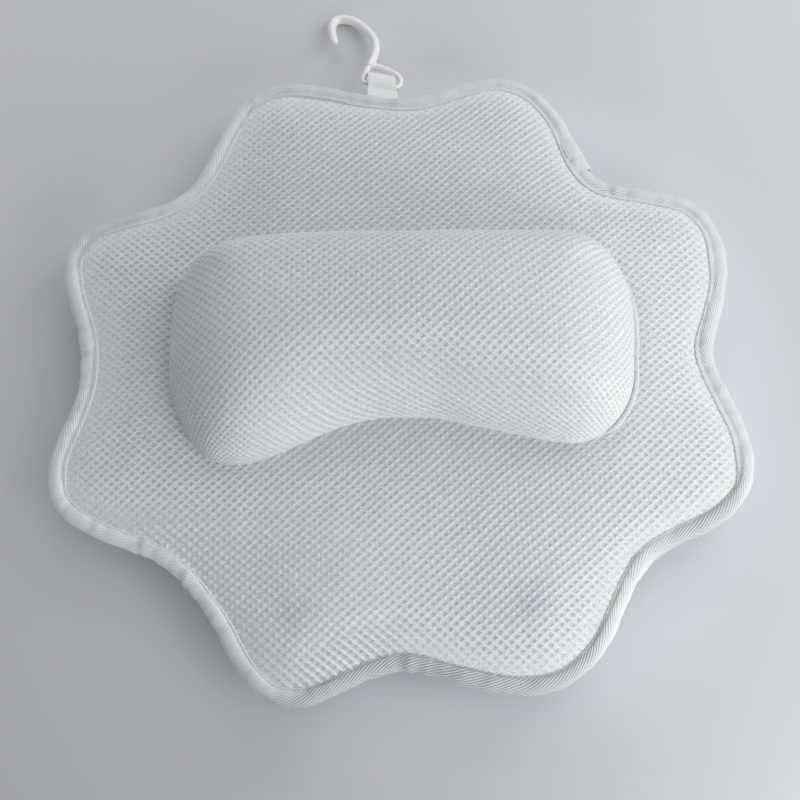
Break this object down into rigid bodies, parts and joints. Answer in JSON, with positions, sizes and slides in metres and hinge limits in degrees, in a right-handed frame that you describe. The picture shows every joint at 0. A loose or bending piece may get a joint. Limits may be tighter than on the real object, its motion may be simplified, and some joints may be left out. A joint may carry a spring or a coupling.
{
  "type": "bath pillow",
  "caption": "Flower-shaped spacer-mesh bath pillow with a bean-shaped head cushion, taped edge, suction cups behind it and a hanging hook on a webbing loop.",
  "frame": {"origin": "below the middle of the whole box, on the plane of the suction cups' lips", "axes": "+Z out of the pad's front, +Y from the pad to the hook, +X to the right when looking at the front with the hook at the top"},
  "size_m": [0.3792, 0.4484, 0.0803],
  "materials": {
    "spacer_mesh": "white polyester spacer mesh with small oval holes",
    "twill_tape": "white cotton-look twill tape",
    "stuffing": "white fibre filling",
    "webbing": "white ribbed webbing",
    "hook_plastic": "glossy white moulded plastic",
    "clear_vinyl": "soft clear vinyl with a blue tint"
  },
  "bodies": {
    "pad": {"pad_front_mesh": "spacer_mesh", "pad_back_mesh": "spacer_mesh", "edge_binding": "twill_tape", "head_cushion_cover": "spacer_mesh", "head_cushion_fill": "stuffing", "cup_collar_top_left": "twill_tape", "cup_collar_top_right": "twill_tape", "cup_collar_bottom_left": "twill_tape", "cup_collar_bottom_right": "twill_tape"},
    "loop": {"hanging_loop": "webbing"},
    "hook": {"hook": "hook_plastic"},
    "cup_top_left": {"suction_cup_top_left": "clear_vinyl"},
    "cup_top_right": {"suction_cup_top_right": "clear_vinyl"},
    "cup_bottom_left": {"suction_cup_bottom_left": "clear_vinyl"},
    "cup_bottom_right": {"suction_cup_bottom_right": "clear_vinyl"}
  },
  "joints": [
    {"name": "loop_flex", "type": "hinge", "parent": "pad", "child": "loop", "pos_m": [-0.00319, 0.14748, 0.0212], "axis": [1, 0, 0], "range_deg": [0, 70]},
    {"name": "hook_swing", "type": "hinge", "parent": "loop", "child": "hook", "pos_m": [-0.00389, 0.15828, 0.0185], "axis": [0.9511, -0.2998, 0.0749], "range_deg": [-60, 100]},
    {"name": "cup_top_left_spin", "type": "hinge", "parent": "pad", "child": "cup_top_left", "pos_m": [-0.05989, 0.11678, 0.015], "axis": [0, 0, 1], "continuous": true},
    {"name": "cup_top_right_spin", "type": "hinge", "parent": "pad", "child": "cup_top_right", "pos_m": [0.06411, 0.11578, 0.015], "axis": [0, 0, 1], "continuous": true},
    {"name": "cup_bottom_left_spin", "type": "hinge", "parent": "pad", "child": "cup_bottom_left", "pos_m": [-0.05789, -0.17722, 0.015], "axis": [0, 0, 1], "continuous": true},
    {"name": "cup_bottom_right_spin", "type": "hinge", "parent": "pad", "child": "cup_bottom_right", "pos_m": [0.06511, -0.17672, 0.015], "axis": [0, 0, 1], "continuous": true}
  ]
}
